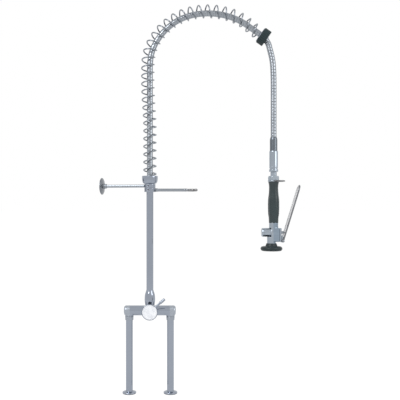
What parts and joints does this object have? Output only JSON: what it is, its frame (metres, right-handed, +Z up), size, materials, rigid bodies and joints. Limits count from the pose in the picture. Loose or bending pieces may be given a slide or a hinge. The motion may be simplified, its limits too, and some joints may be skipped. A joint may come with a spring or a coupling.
{
  "type": "pre rinse faucet",
  "caption": "Deck-mounted pre-rinse faucet with a single-lever mixer bar, wall-braced riser, spring-carried hose, spray holder and squeeze-lever spray.",
  "frame": {"origin": "on the deck surface, midway between the axes of the two pillars", "axes": "+Z up along the riser, +X from the riser towards the spray, -Y towards the user"},
  "size_m": [0.7351, 0.1145, 1.419],
  "materials": {
    "foot_gaskets": "black sealing rubber",
    "left_flange": "polished chrome plate",
    "right_flange": "polished chrome plate",
    "left_pillar": "polished chrome plate",
    "right_pillar": "polished chrome plate",
    "left_union_nut": "polished chrome plate",
    "right_union_nut": "polished chrome plate",
    "union_washers": "black sealing rubber",
    "check_valves": "white moulding",
    "mixer_body": "polished chrome plate",
    "cartridge_body": "white moulding",
    "fixed_disc": "lapped ceramic",
    "cartridge_nut": "turned brass",
    "dome_cover": "polished chrome plate",
    "riser_nut": "polished chrome plate",
    "riser_seals": "black sealing rubber",
    "turret": "dark moulding",
    "moving_disc": "lapped ceramic",
    "spindle": "turned brass",
    "handle_cap": "polished chrome plate",
    "cap_plate": "stainless steel",
    "cap_screw": "stainless steel",
    "handle_pin": "polished chrome plate",
    "riser_tube": "polished chrome plate",
    "spring_cup": "polished chrome plate",
    "hose_nut": "polished chrome plate",
    "arc_hose": "stainless steel",
    "arc_spring": "polished chrome plate",
    "spring_plate": "polished chrome plate",
    "spring_nut": "black, finely fluted",
    "hose_coupling": "polished chrome plate",
    "drop_hose": "stainless steel",
    "hose_sleeve": "dark grey sleeve",
    "swivel_ferrule": "polished chrome plate",
    "bracket_ring": "polished chrome plate",
    "bracket_screw": "stainless steel",
    "bracket_rod": "polished chrome plate",
    "rod_locknut": "polished chrome plate",
    "wall_rosette": "polished chrome plate",
    "holder_ring": "polished chrome plate",
    "holder_screw": "stainless steel",
    "holder_hook": "polished chrome plate",
    "spray_nipple": "polished chrome plate",
    "grip_nut": "polished chrome plate",
    "clip_ring": "polished chrome plate",
    "grip": "satin black moulded rubber",
    "grip_tube": "polished chrome plate",
    "valve_body": "polished chrome plate",
    "spring_cap": "polished chrome plate",
    "gland_nut": "polished chrome plate",
    "lever_stirrup": "polished chrome plate",
    "valve_spring": "stainless steel",
    "spray_plate": "stainless steel",
    "plate_screw": "stainless steel",
    "bumper": "satin black moulded rubber",
    "squeeze_lever": "polished chrome plate",
    "lever_pivot": "polished chrome plate",
    "valve_stem": "polished chrome plate",
    "valve_disc": "black sealing rubber",
    "lock_clip": "stainless steel"
  },
  "bodies": {
    "base": {"foot_gaskets": "foot_gaskets", "left_flange": "left_flange", "right_flange": "right_flange", "left_pillar": "left_pillar", "right_pillar": "right_pillar", "left_union_nut": "left_union_nut", "right_union_nut": "right_union_nut", "union_washers": "union_washers", "check_valves": "check_valves", "mixer_body": "mixer_body", "cartridge_body": "cartridge_body", "fixed_disc": "fixed_disc", "cartridge_nut": "cartridge_nut", "dome_cover": "dome_cover", "riser_nut": "riser_nut", "riser_seals": "riser_seals"},
    "handle_turn": {"turret": "turret", "moving_disc": "moving_disc"},
    "handle_tilt": {"spindle": "spindle", "handle_cap": "handle_cap", "cap_plate": "cap_plate", "cap_screw": "cap_screw", "handle_pin": "handle_pin"},
    "riser": {"riser_tube": "riser_tube", "spring_cup": "spring_cup", "hose_nut": "hose_nut", "arc_hose": "arc_hose", "arc_spring": "arc_spring", "spring_plate": "spring_plate", "spring_nut": "spring_nut", "hose_coupling": "hose_coupling", "drop_hose": "drop_hose", "hose_sleeve": "hose_sleeve", "swivel_ferrule": "swivel_ferrule"},
    "bracket": {"bracket_ring": "bracket_ring", "bracket_screw": "bracket_screw", "bracket_rod": "bracket_rod", "rod_locknut": "rod_locknut", "wall_rosette": "wall_rosette"},
    "holder": {"holder_ring": "holder_ring", "holder_screw": "holder_screw", "holder_hook": "holder_hook"},
    "spray": {"spray_nipple": "spray_nipple", "grip_nut": "grip_nut", "clip_ring": "clip_ring", "grip": "grip", "grip_tube": "grip_tube", "valve_body": "valve_body", "spring_cap": "spring_cap", "gland_nut": "gland_nut", "lever_stirrup": "lever_stirrup", "valve_spring": "valve_spring", "spray_plate": "spray_plate", "plate_screw": "plate_screw", "bumper": "bumper"},
    "lever": {"squeeze_lever": "squeeze_lever", "lever_pivot": "lever_pivot"},
    "stem": {"valve_stem": "valve_stem", "valve_disc": "valve_disc"},
    "clip": {"lock_clip": "lock_clip"}
  },
  "joints": [
    {"name": "handle_temperature", "type": "hinge", "parent": "base", "child": "handle_turn", "pos_m": [0, 0, 0.302], "axis": [0, -1, 0], "range_deg": [0, 98]},
    {"name": "handle_flow", "type": "hinge", "parent": "handle_turn", "child": "handle_tilt", "pos_m": [0, -0.0174, 0.302], "axis": [0.6561, 0, -0.7547], "range_deg": [0, 20]},
    {"name": "riser_swivel", "type": "hinge", "parent": "base", "child": "riser", "pos_m": [0, 0, 0.35], "axis": [0, 0, 1], "range_deg": [-90, 90]},
    {"name": "bracket_swivel", "type": "hinge", "parent": "riser", "child": "bracket", "pos_m": [0, 0, 0.7564], "axis": [0, 0, 1], "range_deg": [-90, 90]},
    {"name": "holder_swivel", "type": "hinge", "parent": "riser", "child": "holder", "pos_m": [0, 0, 0.7416], "axis": [0, 0, 1], "range_deg": [-90, 90]},
    {"name": "spray_swivel", "type": "hinge", "parent": "riser", "child": "spray", "pos_m": [0.452, 0, 0.83], "axis": [0, 0, 1], "continuous": true},
    {"name": "lever_squeeze", "type": "hinge", "parent": "spray", "child": "lever", "pos_m": [0.484, 0, 0.5565], "axis": [0, -1, 0], "range_deg": [0, 18], "stiffness_Nm_per_rad": 3, "springref_deg": -17.19},
    {"name": "stem_push", "type": "slide", "parent": "spray", "child": "stem", "axis": [-1, 0, 0], "range_m": [0, 0.0095], "deforming": ["valve_spring"]},
    {"name": "clip_hinge", "type": "hinge", "parent": "spray", "child": "clip", "pos_m": [0.452, 0, 0.7746], "axis": [0, -1, 0], "range_deg": [-50, 50]}
  ],
  "couplings": [
    {"joint": "stem_push", "follows": "lever_squeeze", "m_per_rad": 0.03}
  ]
}
